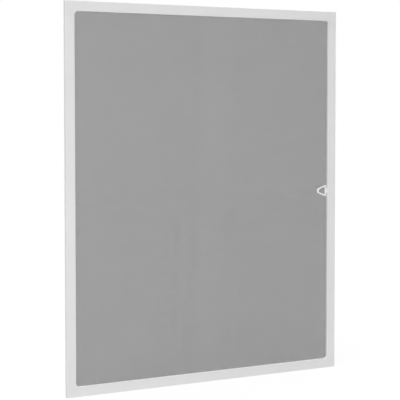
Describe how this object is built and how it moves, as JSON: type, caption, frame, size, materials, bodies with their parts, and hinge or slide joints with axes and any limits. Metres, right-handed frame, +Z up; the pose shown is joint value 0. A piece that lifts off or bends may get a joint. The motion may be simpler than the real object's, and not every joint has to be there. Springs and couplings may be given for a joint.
{
  "type": "window insect screen",
  "caption": "Rectangular window insect screen: white hollow frame with moulded corners, grey woven mesh held by a spline, rear brush seal, hanging hooks and a looped pull tab.",
  "frame": {"origin": "middle of the rear face of the frame, which faces the window", "axes": "+Z up the height of the screen, +X to the right as seen from its front, +Y out of the rear face towards the window"},
  "size_m": [1, 0.0329, 1.2],
  "materials": {
    "white_profile": "white powder coat on aluminium, satin",
    "white_moulding": "white moulded plastic, satin",
    "grey_mesh": "woven coated glass-fibre yarn, matte",
    "grey_spline": "soft plastic cord, matte",
    "grey_pile": "polypropylene pile on a woven backing",
    "hook_steel": "stainless strip, brushed",
    "screw_steel": "bright zinc",
    "white_tab": "white flexible plastic, satin"
  },
  "bodies": {
    "root": {"top_rail": "white_profile", "bottom_rail": "white_profile", "left_stile": "white_profile", "right_stile": "white_profile", "corner_top_left": "white_moulding", "corner_top_right": "white_moulding", "corner_bottom_left": "white_moulding", "corner_bottom_right": "white_moulding", "insect_mesh": "grey_mesh", "spline_top": "grey_spline", "spline_bottom": "grey_spline", "spline_left": "grey_spline", "spline_right": "grey_spline", "brush_top": "grey_pile", "brush_bottom": "grey_pile", "brush_left": "grey_pile", "brush_right": "grey_pile", "hook_top_left": "hook_steel", "hook_top_right": "hook_steel", "hook_bottom_left": "hook_steel", "hook_bottom_right": "hook_steel", "hook_screws": "screw_steel", "pull_tab": "white_tab"}
  },
  "joints": []
}
